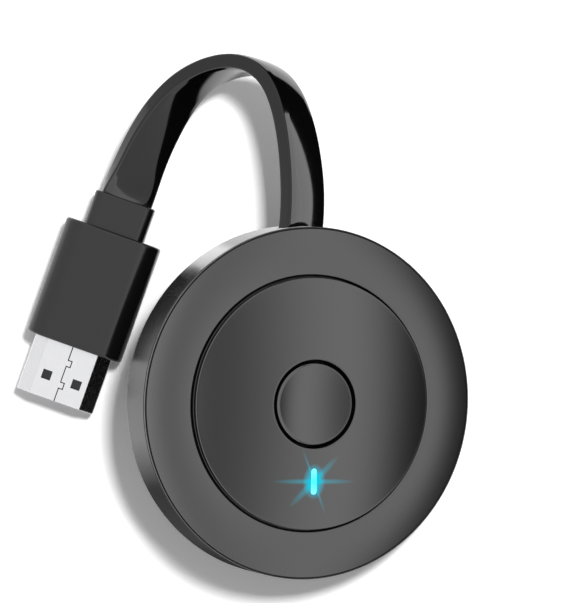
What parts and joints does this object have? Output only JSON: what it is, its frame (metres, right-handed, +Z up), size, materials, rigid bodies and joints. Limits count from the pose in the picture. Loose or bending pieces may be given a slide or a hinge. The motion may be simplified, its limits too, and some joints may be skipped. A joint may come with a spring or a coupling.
{
  "type": "wireless display dongle",
  "caption": "Round display dongle: a leaning puck with a push button and a light, a short flat lead and a moulded HDMI plug.",
  "frame": {"origin": "on the table under the middle of the puck's box, measured without the lead and what is on it", "axes": "+Z up from the table; +Y the way the lead leaves the puck; the plug lies flat on the table towards -X and the puck leans towards +X"},
  "size_m": [0.0783, 0.0897, 0.0319],
  "materials": {
    "back_shell": "gloss",
    "front_cover": "satin",
    "centre_plate": "satin",
    "button_cap": "satin",
    "switch_plunger": "matte",
    "switch_body": "satin",
    "light_lens": "gloss",
    "light_emitter": "gloss",
    "main_board": "satin",
    "processor_chip": "matte",
    "thermal_pad": "matte",
    "heat_spreader": "satin",
    "memory_chips": "matte",
    "flash_chip": "matte",
    "wireless_chip": "matte",
    "shield_can": "satin",
    "antenna": "satin",
    "crystal": "satin",
    "power_inductor": "matte",
    "board_capacitors": "satin",
    "board_screws": "satin",
    "usb_shell": "satin",
    "usb_tongue": "matte",
    "usb_contacts": "polished",
    "cable_gland": "matte",
    "cable_wires": "satin",
    "flat_lead": "gloss",
    "plug_neck": "satin",
    "plug_housing": "satin",
    "plug_inner_can": "satin",
    "plug_wires": "satin",
    "hdmi_shell": "satin",
    "hdmi_insulator": "matte",
    "hdmi_contacts": "polished"
  },
  "bodies": {
    "case": {"back_shell": "back_shell", "front_cover": "front_cover", "centre_plate": "centre_plate", "switch_body": "switch_body", "light_lens": "light_lens", "light_emitter": "light_emitter", "main_board": "main_board", "processor_chip": "processor_chip", "thermal_pad": "thermal_pad", "heat_spreader": "heat_spreader", "memory_chips": "memory_chips", "flash_chip": "flash_chip", "wireless_chip": "wireless_chip", "shield_can": "shield_can", "antenna": "antenna", "crystal": "crystal", "power_inductor": "power_inductor", "board_capacitors": "board_capacitors", "board_screws": "board_screws", "usb_shell": "usb_shell", "usb_tongue": "usb_tongue", "usb_contacts": "usb_contacts", "cable_gland": "cable_gland", "cable_wires": "cable_wires", "flat_lead": "flat_lead", "plug_neck": "plug_neck", "plug_housing": "plug_housing", "plug_inner_can": "plug_inner_can", "plug_wires": "plug_wires", "hdmi_shell": "hdmi_shell", "hdmi_insulator": "hdmi_insulator", "hdmi_contacts": "hdmi_contacts"},
    "button": {"button_cap": "button_cap", "switch_plunger": "switch_plunger"}
  },
  "joints": [
    {"name": "button_press", "type": "slide", "parent": "case", "child": "button", "axis": [-0.3956, 0.0346, -0.9178], "range_m": [0, 0.0003], "stiffness_N_per_m": 1500, "springref_m": -0.0002}
  ]
}
